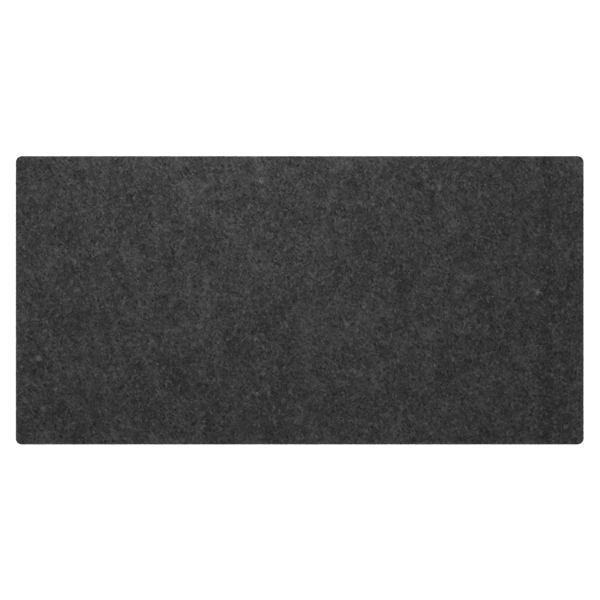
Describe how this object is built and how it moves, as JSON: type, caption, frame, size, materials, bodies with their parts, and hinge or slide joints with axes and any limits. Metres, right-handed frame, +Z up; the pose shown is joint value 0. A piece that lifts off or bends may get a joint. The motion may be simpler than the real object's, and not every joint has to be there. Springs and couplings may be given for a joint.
{
  "type": "desk mat",
  "caption": "Flat rectangular felt desk mat with small rounded corners: a charcoal felt face bonded by a thin film to an anti-slip rubber base.",
  "frame": {"origin": "on the desk surface, under the middle of the mat", "axes": "+X along the mat's width, from left to right; +Y along its depth, from front to back; +Z up, out of the felt face"},
  "size_m": [0.63, 0.32, 0.0041],
  "materials": {
    "felt": "matte",
    "film": "satin",
    "rubber": "matte"
  },
  "bodies": {
    "root": {"felt_face": "felt", "bond_film": "film", "grip_base": "rubber"}
  },
  "joints": []
}
